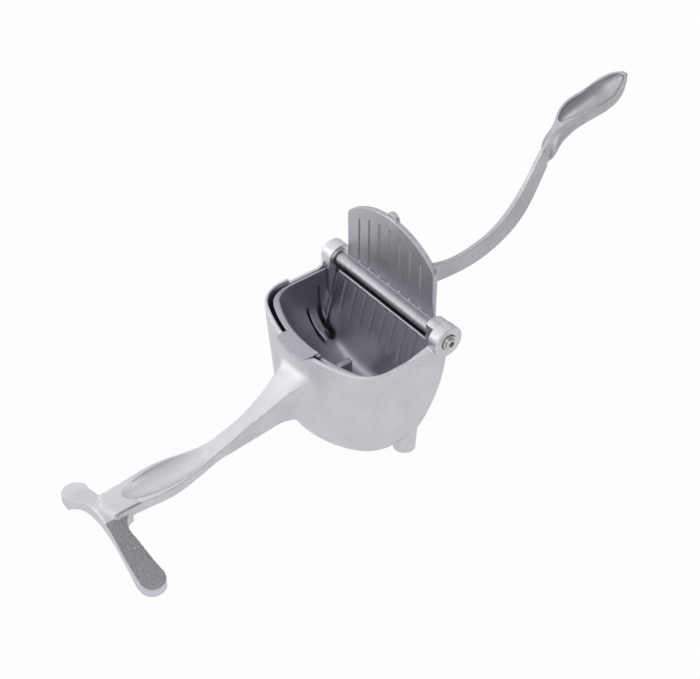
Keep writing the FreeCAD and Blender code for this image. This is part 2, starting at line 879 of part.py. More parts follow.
def leaf_rim_at(x):
    """Return the leaf grip's rim height at a distance, in line between its stations."""
    for first, second in zip(leaf_stations, leaf_stations[1:]):
        if x <= second[0]:
            share = (x - first[0]) / (second[0] - first[0])
            return first[2] + share * (second[2] - first[2])
    return leaf_stations[-1][2]


def make_leaf():
    """Return the leaf-shaped grip, hollowed from above."""
    outer = Part.makeLoft([leaf_section(*station) for station in leaf_stations], True, False)
    inner_sections = []
    for x, half_width, depth in leaf_bowl_stations:
        rim = leaf_rim_at(x)
        inner_sections.append(leaf_section(x, half_width, rim + leaf_side_height, rim - depth))
    inner = Part.makeLoft(inner_sections, True, False)
    return outer.cut(inner)


def make_press_arm():
    """Return the press arm casting: barrel, plate, lever and leaf grip."""
    barrel = along_y(barrel_radius, -barrel_near_end, barrel_far_end)
    arm = make_plate().fuse([barrel, make_lever(), make_leaf()])
    bore = along_y(bore_radius, -barrel_near_end - run_out, barrel_far_end + run_out)
    return arm.cut(bore).removeSplitter()


def make_screw():
    """Return the hinge screw with its stepped socket head."""
    seat = counterbore_depth - boss_face
    head = along_y(head_radius, seat - head_height, seat)
    collar = along_y(collar_radius, seat - head_height - collar_height, seat - head_height)
    shank = along_y(pin_radius, seat, far_ear_outer - nut_recess_depth + nut_thickness)
    outer_end = seat - head_height - collar_height
    socket = hexagon_along_y(socket_across_flats, outer_end - run_out, outer_end + socket_depth)
    return head.fuse([collar, shank]).cut(socket).removeSplitter()


def make_washer():
    """Return the thrust washer between the barrel and the far ear."""
    washer = along_y(washer_radius, ear_inner - washer_thickness, ear_inner)
    return washer.cut(along_y(bore_radius, 0, 2 * ear_inner))


def make_nut():
    """Return the hinge nut in the far ear's recess."""
    start = far_ear_outer - nut_recess_depth
    nut = hexagon_along_y(nut_across_flats, start, start + nut_thickness)
    return nut.cut(along_y(bore_radius, 0, 2 * far_ear_outer))


def main():
    """Write one file for each separate piece."""
    pieces = {
        "pot_casting": make_pot(),
        "strainer_cup": make_cup(),
        "press_arm": make_press_arm(),
        "hinge_screw": make_screw(),
        "hinge_washer": make_washer(),
        "hinge_nut": make_nut(),
    }
    os.makedirs("parts", exist_ok=True)
    for name, shape in pieces.items():
        solid = shape.Solids[0] if len(shape.Solids) == 1 else shape
        solid.exportStep("parts/" + name + ".step")
        box = solid.BoundBox
        print(name, len(shape.Solids), round(solid.Volume, 1), solid.isValid(),
              [round(v, 1) for v in (box.XMin, box.XMax, box.YMin, box.YMax, box.ZMin, box.ZMax)])


main()
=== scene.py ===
"""Looks of a hinged lemon squeezer in cast aluminium, standing open on a pale floor."""

from __future__ import annotations

import logging
import math
from dataclasses import dataclass, field
from enum import Enum

import bmesh
import bpy
import numpy as np
from mathutils import Matrix, Vector


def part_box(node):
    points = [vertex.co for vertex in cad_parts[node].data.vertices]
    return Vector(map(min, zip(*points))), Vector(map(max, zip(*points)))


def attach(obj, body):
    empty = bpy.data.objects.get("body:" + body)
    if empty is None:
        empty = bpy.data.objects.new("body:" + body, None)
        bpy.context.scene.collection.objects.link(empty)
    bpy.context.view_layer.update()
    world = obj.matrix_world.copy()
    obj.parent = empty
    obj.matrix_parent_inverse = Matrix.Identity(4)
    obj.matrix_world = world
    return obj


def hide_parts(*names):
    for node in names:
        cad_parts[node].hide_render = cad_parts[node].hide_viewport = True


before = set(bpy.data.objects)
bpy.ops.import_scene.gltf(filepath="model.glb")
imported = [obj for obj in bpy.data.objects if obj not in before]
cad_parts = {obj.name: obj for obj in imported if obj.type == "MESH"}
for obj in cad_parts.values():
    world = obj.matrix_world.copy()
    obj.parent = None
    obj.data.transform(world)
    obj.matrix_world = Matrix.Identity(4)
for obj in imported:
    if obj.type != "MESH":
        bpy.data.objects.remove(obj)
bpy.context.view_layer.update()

MILLIMETRE = 0.001
SAME_POINT = 1e-7
SHARP_FROM_DEG = 28.0
TURN = 2.0 * math.pi
LOG = logging.getLogger("lemon_squeezer")

# The types of a node group's sockets.
NUMBER = "NodeSocketFloat"
VECTOR = "NodeSocketVector"


class Surface(Enum):
    """How a metal surface was finished at the foundry or the lathe."""

    TUMBLED = "tumbled"
    BRUSHED = "brushed"
    TURNED = "turned"


@dataclass(frozen=True)
class BrushLines:
    """The fine lines that a way of finishing leaves.

    They are cycles per metre, drawn out along the axis whose stretch is small.
    """

    scale: float
    stretch: tuple[float, float, float]
    depth: float
    strength: float


LINES_OF = {
    Surface.TUMBLED: BrushLines(900.0, (0.06, 1.0, 1.0), 0.00003, 0.06),
    Surface.BRUSHED: BrushLines(1100.0, (0.05, 1.0, 0.10), 0.000012, 0.08),
    Surface.TURNED: BrushLines(1500.0, (1.0, 0.1, 1.0), 0.00001, 0.03),
}


@dataclass(frozen=True)
class CameraPlace:
    """Where the camera stands, in metres and degrees."""

    position: tuple[float, float, float] = (-0.3475, -0.4161, 0.5029)
    azimuth_deg: float = -38.21
    elevation_deg: float = 40.77
    lens_mm: float = 78.96
    sensor_mm: float = 36.0


@dataclass(frozen=True)
class Lamp:
    """A soft rectangular lamp that points at the squeezer."""

    name: str
    position: tuple[float, float, float]
    size: float
    power: float


@dataclass(frozen=True)
class MetalFinish:
    """The colours and the fine texture of one metal surface.

    The scales are in cycles per metre and the depths in metres.
    """

    name: str
    surface: Surface
    base: tuple[float, float, float]
    shade: tuple[float, float, float]
    roughness: float
    grain_scale: float = 1400.0
    grain_depth: float = 0.00006
    blotch_scale: float = 70.0
    # How strongly the worn edges show (real wear with a painted highlight), and how dark the painted
    # shade in hollows is.
    wear_and_painted_light: float = 0.35
    painted_shade: float = 0.45


class NodeBench:
    """A node tree with short calls that add nodes and join them."""

    def __init__(self, tree: bpy.types.NodeTree) -> None:
        """Take a tree and empty it.

        Args:
            tree: The node tree to work in.
        """
        self.tree = tree
        tree.nodes.clear()

    def add(self, kind: str, **settings: object) -> bpy.types.Node:
        """Add a node and set its properties.

        Args:
            kind: The node's type name.
            settings: Properties to set on the node.

        Returns:
            The new node.
        """
        node = self.tree.nodes.new(kind)
        for key, value in settings.items():
            setattr(node, key, value)
        return node

    def put(self, socket: bpy.types.NodeSocket, value: object) -> None:
        """Join a socket to another one, or set its value.

        Args:
            socket: The input socket.
            value: An output socket, a number or a colour.
        """
        if isinstance(value, bpy.types.NodeSocket):
            self.tree.links.new(value, socket)
        elif isinstance(value, tuple) and len(value) == 3 and socket.type == "RGBA":
            socket.default_value = (*value, 1.0)
        else:
            socket.default_value = value

    def math(
        self, operation: str, first: object, second: object = 0.0, clamp: bool = False,
    ) -> bpy.types.NodeSocket:
        """Add a Math node.

        Args:
            operation: The node's operation, in capitals.
            first: A socket or a number.
            second: A socket or a number.
            clamp: True where the result is held between 0 and 1.

        Returns:
            The result's socket.
        """
        node = self.add("ShaderNodeMath", operation=operation, use_clamp=clamp)
        self.put(node.inputs[0], first)
        self.put(node.inputs[1], second)
        return node.outputs[0]

    def span(
        self, value: object, low: float, high: float, to_low: float = 0.0, to_high: float = 1.0,
    ) -> bpy.types.NodeSocket:
        """Map a value from one range to another, smoothly and held at the ends.

        Args:
            value: A socket or a number.
            low: Where the first range begins.
            high: Where it ends.
            to_low: What low becomes.
            to_high: What high becomes.

        Returns:
            The result's socket.
        """
        node = self.add("ShaderNodeMapRange", interpolation_type="SMOOTHSTEP", clamp=True)
        for index, item in enumerate((value, low, high, to_low, to_high)):
            self.put(node.inputs[index], item)
        return node.outputs[0]

    def blend(self, share: object, first: object, second: object) -> bpy.types.NodeSocket:
        """Mix two colours.

        Args:
            share: How much of the second one, from 0 to 1.
            first: A socket or a colour.
            second: A socket or a colour.

        Returns:
            The mixed colour's socket.
        """
        node = self.add("ShaderNodeMix", data_type="RGBA")
        self.put(node.inputs[0], share)
        self.put(node.inputs[6], first)
        self.put(node.inputs[7], second)
        return node.outputs[2]

    def noise(
        self, vector: object, scale: object, detail: float, roughness: float = 0.6,
    ) -> bpy.types.NodeSocket:
        """Add a Noise Texture.

        Args:
            vector: Where it is read.
            scale: Its cycles per metre.
            detail: How many finer layers it has.
            roughness: How strong the finer layers are.

        Returns:
            The value's socket, from 0 to 1.
        """
        node = self.add("ShaderNodeTexNoise")
        self.put(node.inputs["Vector"], vector)
        self.put(node.inputs["Scale"], scale)
        node.inputs["Detail"].default_value = detail
        node.inputs["Roughness"].default_value = roughness
        return node.outputs["Fac"]

    def group(self, tree: bpy.types.NodeTree, **values: object) -> bpy.types.Node:
        """Place a node group and feed its named inputs.

        Args:
            tree: The group.
            values: A value for each input, its name written with _ for a space.

        Returns:
            The group's node.
        """
        node = self.add("ShaderNodeGroup")
        node.node_tree = tree
        for key, value in values.items():
            self.put(node.inputs[key.replace("_", " ")], value)
        return node


class EffectGroups:
    """The shader node groups that the finishes use, each built once.

    The ranges are the stretches of a noise or a bend that are spread over 0 to 1.
    """

    middle: tuple[float, float] = (0.3, 0.7)
    pit_scale_share: float = 0.45
    pit_range: tuple[float, float] = (0.66, 0.76)
    patchy_range: tuple[float, float] = (0.3, 0.6)
    # The worn edges are real wear with a painted highlight; the hollows get painted shade.
    least_wear_and_highlight: float = 0.55
    ridge_range: tuple[float, float] = (0.03, 0.22)
    painted_shade_range: tuple[float, float] = (0.02, 0.2)
    upward_range: tuple[float, float] = (0.55, 0.75)
    speckle_scale: float = 1500.0
    speckle_range: tuple[float, float] = (0.56, 0.72)
    fleck_scale: float = 700.0
    fleck_range: tuple[float, float] = (0.73, 0.78)
    sand_scale: float = 620.0

    def __init__(self) -> None:
        """Build every group."""
        self.grain = self._cast_grain()
        self.lines = self._brush_lines()
        self.wear_and_painted_light = self._edge_wear_and_painted_light()
        self.sand = self._sand_patch()

    @staticmethod
    def _start(
        name: str, inputs: dict[str, str], outputs: dict[str, str],
    ) -> tuple[bpy.types.NodeTree, NodeBench, bpy.types.Node, bpy.types.Node]:
        """Make an empty group with its sockets.

        Args:
            name: The group's name.
            inputs: Socket types by input name.
            outputs: Socket types by output name.

        Returns:
            The tree, its bench, and its input and output nodes.
        """
        tree = bpy.data.node_groups.new(name, "ShaderNodeTree")
        bench = NodeBench(tree)
        for key, kind in inputs.items():
            tree.interface.new_socket(name=key, in_out="INPUT", socket_type=kind)
        for key, kind in outputs.items():
            tree.interface.new_socket(name=key, in_out="OUTPUT", socket_type=kind)
        return tree, bench, bench.add("NodeGroupInput"), bench.add("NodeGroupOutput")

    def _cast_grain(self) -> bpy.types.NodeTree:
        """Cast grain: fine noise, slow blotches and scattered small pits.

        Returns:
            The group, with the outputs Grain, Blotch and Pits.
        """
        tree, bench, start, end = self._start(
            "cast_grain",
            {"Vector": VECTOR, "Grain Scale": NUMBER, "Blotch Scale": NUMBER},
            {"Grain": NUMBER, "Blotch": NUMBER, "Pits": NUMBER},
        )
        place = start.outputs["Vector"]
        grain = bench.noise(place, start.outputs["Grain Scale"], 5.0, 0.7)
        blotch = bench.noise(place, start.outputs["Blotch Scale"], 4.0)
        pit_scale = bench.math("MULTIPLY", start.outputs["Grain Scale"], self.pit_scale_share)
        pits = bench.noise(place, pit_scale, 2.0, 0.5)
        bench.put(end.inputs["Grain"], grain)
        bench.put(end.inputs["Blotch"], bench.span(blotch, *self.middle))
        bench.put(end.inputs["Pits"], bench.span(pits, *self.pit_range))
        return tree

    def _brush_lines(self) -> bpy.types.NodeTree:
        """Brush lines: noise drawn out along one direction by uneven stretching.

        Returns:
            The group, with the output Lines.
        """
        tree, bench, start, end = self._start(
            "brush_lines",
            {"Vector": VECTOR, "Stretch": VECTOR, "Line Scale": NUMBER},
            {"Lines": NUMBER},
        )
        stretch = bench.add("ShaderNodeVectorMath", operation="MULTIPLY")
        bench.put(stretch.inputs[0], start.outputs["Vector"])
        bench.put(stretch.inputs[1], start.outputs["Stretch"])
        lines = bench.noise(stretch.outputs[0], start.outputs["Line Scale"], 3.0)
        bench.put(end.inputs["Lines"], bench.span(lines, *self.middle))
        return tree

    def _edge_wear_and_painted_light(self) -> bpy.types.NodeTree:
        """Edge wear and painted light: rounded edges worn bright, partly real wear and partly a painted
        highlight, and hollows darkened with painted shade.

        Returns:
            The group, with two outputs: the worn edges with their painted highlight, and the painted
                shade in hollows.
        """
        tree, bench, start, end = self._start(
            "edge_wear_and_painted_light",
            {"Bend": NUMBER, "Grain": NUMBER},
            {"Wear And Highlight": NUMBER, "Painted Shade": NUMBER},
        )
        bend = start.outputs["Bend"]
        # Worn edges: real wear, brightened further in patches as a painted highlight.
        patchy = bench.span(start.outputs["Grain"], *self.patchy_range, self.least_wear_and_highlight, 1.0)
        wear_and_highlight = bench.span(bend, *self.ridge_range)
        bench.put(end.inputs["Wear And Highlight"], bench.math("MULTIPLY", wear_and_highlight, patchy))
        # Painted shade: the hollows of the skin are darkened as if shade fell in them.
        deep = bench.math("MULTIPLY", bend, -1.0)
        bench.put(end.inputs["Painted Shade"], bench.span(deep, *self.painted_shade_range))
        return tree

    def _sand_patch(self) -> bpy.types.NodeTree:
        """Sand-cast patch: speckle on up-facing skin past two planes, with its own height.

        Returns:
            The group, with the outputs Mask, Speckle, Flecks and Height.
        """
        tree, bench, start, end = self._start(
            "sand_patch",
            {"Vector": VECTOR, "Facing": VECTOR, "Far X": NUMBER, "Near Y": NUMBER, "Fade": NUMBER},
            {"Mask": NUMBER, "Speckle": NUMBER, "Flecks": NUMBER, "Height": NUMBER},
        )
        split = bench.add("ShaderNodeSeparateXYZ")
        bench.put(split.inputs[0], start.outputs["Vector"])
        beyond_x = bench.math("SUBTRACT", start.outputs["Far X"], split.outputs[0])
        beyond_y = bench.math("SUBTRACT", start.outputs["Near Y"], split.outputs[1])
        share_x = bench.math("DIVIDE", beyond_x, start.outputs["Fade"], clamp=True)
        share_y = bench.math("DIVIDE", beyond_y, start.outputs["Fade"], clamp=True)
        facing = bench.add("ShaderNodeSeparateXYZ")
        bench.put(facing.inputs[0], start.outputs["Facing"])
        upward = bench.span(facing.outputs[2], *self.upward_range)
        corner = bench.math("MULTIPLY", share_x, share_y)
        speckle = bench.noise(start.outputs["Vector"], self.speckle_scale, 4.0, 0.75)
        flecks = bench.noise(start.outputs["Vector"], self.fleck_scale, 1.0, 0.5)
        height = bench.noise(start.outputs["Vector"], self.sand_scale, 5.0, 0.75)
        bench.put(end.inputs["Mask"], bench.math("MULTIPLY", corner, upward))
        bench.put(end.inputs["Speckle"], bench.span(speckle, *self.speckle_range))
        bench.put(end.inputs["Flecks"], bench.span(flecks, *self.fleck_range))
        bench.put(end.inputs["Height"], height)
        return tree


@dataclass(frozen=True)
class SandPatch:
    """The rough sand-cast patch on top of the near foot arm.

    It lies past far_x and near_y, in metres. The covers and shares are parts of 1, and the
    tones are shares of the finish's shade.
    """

    far_x: float = -0.139
    near_y: float = -0.0065
    fade: float = 0.0008
    cover: float = 0.75
    tone: float = 0.52
    speckle_cover: float = 0.7
    speckle_tone: float = 0.22
    fleck_colour: tuple[float, float, float] = (0.9, 0.9, 0.92)
    roughness: float = 0.15
    depth: float = 0.0009


@dataclass
class MetalShop:
    """Makes the materials from their finishes and the shared effects.

    The fields say how strongly each effect shows in the colour, roughness and height.
    """

    effects: EffectGroups
    patch: SandPatch = SandPatch()
    blotch_colour: float = 0.45
    line_colour: float = 4.0
    pit_colour: float = 0.35
    # Tones of the painted shade in hollows, and of the worn edges: real wear with a painted highlight.
    painted_shade_tone: float = 0.45
    wear_and_highlight_tone: float = 1.18
    grain_range: tuple[float, float] = (0.25, 0.75)
    grain_roughness: float = 0.06
    blotch_roughness: float = 0.05
    wear_and_highlight_roughness: float = -0.25
    painted_shade_roughness: float = 0.2
    pit_height: float = -0.7

    def effect(self, bench: NodeBench, finish: MetalFinish) -> dict[str, bpy.types.NodeSocket]:
        """Place the shared effects in a material.

        Args:
            bench: The material's bench.
            finish: The metal's finish.

        Returns:
            The effects' sockets by name, and the piece's own place and facing.
        """
        coordinates = bench.add("ShaderNodeTexCoord").outputs
        bend = bench.add("ShaderNodeAttribute", attribute_name="bend").outputs["Fac"]
        place = coordinates["Object"]
        grain = bench.group(
            self.effects.grain, Vector=place,
            Grain_Scale=finish.grain_scale, Blotch_Scale=finish.blotch_scale,
        ).outputs
        brush = LINES_OF[finish.surface]
        lines = bench.group(
            self.effects.lines, Vector=place, Stretch=brush.stretch, Line_Scale=brush.scale,
        ).outputs
        wear_and_painted_light = bench.group(self.effects.wear_and_painted_light, Bend=bend, Grain=grain["Grain"]).outputs
        return {
            "place": place,
            "facing": coordinates["Normal"],
            "grain": grain["Grain"],
            "blotch": grain["Blotch"],
            "pits": grain["Pits"],
            "lines": lines["Lines"],
            # The worn edges carry a painted highlight, and the hollows carry painted shade.
            "wear_and_highlight": bench.math("MULTIPLY", wear_and_painted_light["Wear And Highlight"], finish.wear_and_painted_light),
            "painted_shade": bench.math("MULTIPLY", wear_and_painted_light["Painted Shade"], finish.painted_shade),
        }

    def colour(
        self, bench: NodeBench, finish: MetalFinish, effect: dict[str, bpy.types.NodeSocket],
    ) -> bpy.types.NodeSocket:
        """Mix the metal's colour: shade in blotches, lines and pits, painted shade in hollows, and
        bright worn ridges with a painted highlight.

        Args:
            bench: The material's bench.
            finish: The metal's finish.
            effect: The effects by name.

        Returns:
            The colour's socket.
        """
        painted_shade_colour = tuple(self.painted_shade_tone * part for part in finish.shade)
        wear_and_highlight_colour = tuple(min(1.0, self.wear_and_highlight_tone * part) for part in finish.base)
        line_share = self.line_colour * LINES_OF[finish.surface].strength
        layers = (
            (bench.math("MULTIPLY", effect["blotch"], self.blotch_colour), finish.shade),
            (bench.math("MULTIPLY", effect["lines"], line_share), finish.shade),
            (bench.math("MULTIPLY", effect["pits"], self.pit_colour), finish.shade),
            # Painted shade in the hollows, and a painted highlight on the worn ridges.
            (effect["painted_shade"], painted_shade_colour),
            (effect["wear_and_highlight"], wear_and_highlight_colour),
        )
        mixed = finish.base
        for share, layer in layers:
            mixed = bench.blend(share, mixed, layer)
        return mixed

    def roughness(
        self, bench: NodeBench, finish: MetalFinish, effect: dict[str, bpy.types.NodeSocket],
    ) -> bpy.types.NodeSocket:
        """Add up the metal's roughness: the finish's own, and each effect's part.

        Args:
            bench: The material's bench.
            finish: The metal's finish.
            effect: The effects by name.

        Returns:
            The roughness's socket.
        """
        smooth, coarse = finish.roughness - self.grain_roughness, finish.roughness + self.grain_roughness
        total = bench.span(effect["grain"], *self.grain_range, smooth, coarse)
        parts = {
            "lines": LINES_OF[finish.surface].strength,
            "blotch": self.blotch_roughness,
            "wear_and_highlight": self.wear_and_highlight_roughness,
            "painted_shade": self.painted_shade_roughness,
        }
        for name, part in parts.items():
            total = bench.math("ADD", total, bench.math("MULTIPLY", effect[name], part))
        return bench.math("ADD", total, 0.0, clamp=True)

    def height(
        self, bench: NodeBench, finish: MetalFinish, effect: dict[str, bpy.types.NodeSocket],
    ) -> bpy.types.NodeSocket:
        """Add up the fine height of the grain, the lines and the pits, in metres.

        Args:
            bench: The material's bench.
            finish: The metal's finish.
            effect: The effects by name.

        Returns:
            The height's socket.
        """
        total = bench.math("MULTIPLY", effect["grain"], finish.grain_depth)
        parts = {
            "lines": LINES_OF[finish.surface].depth,
            "pits": self.pit_height * finish.grain_depth,
        }
        for name, part in parts.items():
            total = bench.math("ADD", total, bench.math("MULTIPLY", effect[name], part))
        return total

    def make(self, finish: MetalFinish, sand: bool = False) -> bpy.types.Material:
        """Build one metal material.

        Args:
            finish: The colours and the texture.
            sand: True where the piece has the sand-cast patch on one foot arm.

        Returns:
            The finished material.
        """
        material = bpy.data.materials.new(finish.name)
        material.use_nodes = True
        bench = NodeBench(material.node_tree)
        effect = self.effect(bench, finish)
        colour = self.colour(bench, finish, effect)
        rough = self.roughness(bench, finish, effect)
        height = self.height(bench, finish, effect)
        if sand:
            patch = self.patch
            sheet = bench.group(
                self.effects.sand, Vector=effect["place"], Facing=effect["facing"],
                Far_X=patch.far_x, Near_Y=patch.near_y, Fade=patch.fade,
            ).outputs
            mask = sheet["Mask"]
            dull, dark = (
                tuple(tone * part for part in finish.shade)
                for tone in (patch.tone, patch.speckle_tone)
            )
            speckle = bench.math("MULTIPLY", sheet["Speckle"], patch.speckle_cover)
            colour = bench.blend(bench.math("MULTIPLY", mask, patch.cover), colour, dull)
            colour = bench.blend(bench.math("MULTIPLY", mask, speckle), colour, dark)
            fleck = bench.math("MULTIPLY", mask, sheet["Flecks"])
            colour = bench.blend(fleck, colour, patch.fleck_colour)
            sand_rough = bench.math("MULTIPLY", mask, patch.roughness)
            rough = bench.math("ADD", rough, sand_rough, clamp=True)
            sand_height = bench.math("MULTIPLY", sheet["Height"], patch.depth)
            height = bench.math("ADD", height, bench.math("MULTIPLY", mask, sand_height))

        bump = bench.add("ShaderNodeBump")
        bump.inputs["Strength"].default_value = 1.0
        bump.inputs["Distance"].default_value = 1.0
        bench.put(bump.inputs["Height"], height)
        shader = bench.add("ShaderNodeBsdfPrincipled")
        shader.inputs["Metallic"].default_value = 1.0
        bench.put(shader.inputs["Base Color"], colour)
        bench.put(shader.inputs["Roughness"], rough)
        bench.put(shader.inputs["Normal"], bump.outputs[0])
        end = bench.add("ShaderNodeOutputMaterial")
        bench.put(end.inputs["Surface"], shader.outputs[0])
        return material


def grid_quads(rows: int, columns: int, wrap_rows: bool, wrap_columns: bool) -> np.ndarray:
    """Number the faces of a grid of vertices.

    Vertex (i, j) has the number i * columns + j, and a face joins it to its next row and
    its next column. A wrapped direction joins its last line to its first.

    Args:
        rows: Lines in the first direction.
        columns: Vertices in a line.
        wrap_rows: True where the rows close on themselves.
        wrap_columns: True where the columns close on themselves.

    Returns:
        An array of faces with four vertex numbers each.
    """
    i = np.arange(rows if wrap_rows else rows - 1)[:, None]
    j = np.arange(columns if wrap_columns else columns - 1)[None, :]
    down, right = (i + 1) % rows, (j + 1) % columns
    corners = (i * columns + j, down * columns + j, down * columns + right, i * columns + right)
    return np.stack([np.broadcast_to(c, (i.size, j.size)) for c in corners], axis=-1).reshape(-1, 4)


def object_from_grid(name: str, points: np.ndarray, wrap_rows: bool = False) -> bpy.types.Object:
    """Turn a closed grid of points into a mesh object with its faces outwards.

    Args:
        name: The piece's name.
        points: An array of rows, columns and three coordinates, in metres.
        wrap_rows: True where the first direction closes on itself.

    Returns:
        The new object, at the origin.
    """
    rows, columns = points.shape[:2]
    quads = grid_quads(rows, columns, wrap_rows, True)
    mesh = bpy.data.meshes.new(name)
    mesh.from_pydata(points.reshape(-1, 3).tolist(), [], quads.tolist())
    work = bmesh.new()
    work.from_mesh(mesh)
    bmesh.ops.remove_doubles(work, verts=work.verts, dist=SAME_POINT)
    bmesh.ops.recalc_face_normals(work, faces=work.faces)
    work.to_mesh(mesh)
    work.free()
    mesh.shade_smooth()
    return link(name, mesh)


def link(name: str, mesh: bpy.types.Mesh) -> bpy.types.Object:
    """Put a mesh into the scene as an object at the origin.

    Args:
        name: The object's name.
        mesh: Its mesh.

    Returns:
        The new object.
    """
    made = bpy.data.objects.new(name, mesh)
    bpy.context.scene.collection.objects.link(made)
    return made


def applied(holder: bpy.types.Object) -> bpy.types.Mesh:
    """Apply an object's modifiers, and remove the object.

    Args:
        holder: The object that holds the modifiers.

    Returns:
        The changed mesh.
    """
    graph = bpy.context.evaluated_depsgraph_get()
    mesh = bpy.data.meshes.new_from_object(holder.evaluated_get(graph))
    bpy.data.objects.remove(holder)
    return mesh


def rounded_edges(piece: bpy.types.Object, width: float) -> None:
    """Round a piece's sharp edges with a narrow bevel.

    Args:
        piece: The object.
        width: The bevel's width, in metres.
    """
    bevel = piece.modifiers.new("edge_rounding", "BEVEL")
    bevel.width = width
    bevel.segments = 2
    bevel.limit_method = "ANGLE"
    bevel.angle_limit = math.radians(SHARP_FROM_DEG)
    bevel.harden_normals = True


def neighbour_mean(values: np.ndarray, edges: np.ndarray, degree: np.ndarray) -> np.ndarray:
    """Average each vertex's neighbours: the sum over its edges divided by their number.

    Args:
        values: A row of values for each vertex.
        edges: Two vertex numbers for each edge.
        degree: The number of edges at each vertex.

    Returns:
        A row of means for each vertex.
    """
    count = len(degree)
    columns = [
        np.bincount(edges[:, 0], column[edges[:, 1]], count)
        + np.bincount(edges[:, 1], column[edges[:, 0]], count)
        for column in values.T
    ]
    return np.stack(columns, axis=1) / degree[:, None]


@dataclass(frozen=True)
class SoftZone:
    """A box in which a casting's skin is rounded further, as by a large fillet.

    The corners, and the border over which the rounding dies out, are in metres.
    """

    low: tuple[float, float, float]
    high: tuple[float, float, float]
    fade: float
    rounds: int

    def share(self, points: np.ndarray) -> np.ndarray:
        """Return how far inside each point lies: 0 outside, 1 in the middle.

        The least depth under the box's faces over the fade, s, becomes s * s * (3 - 2 * s).

        Args:
            points: Coordinates in metres, a row for each point.

        Returns:
            One share for each point.
        """
        depth = np.minimum(points - np.array(self.low), np.array(self.high) - points)
        least = np.clip(depth.min(axis=1) / self.fade, 0.0, 1.0)
        return least * least * (3.0 - 2.0 * least)


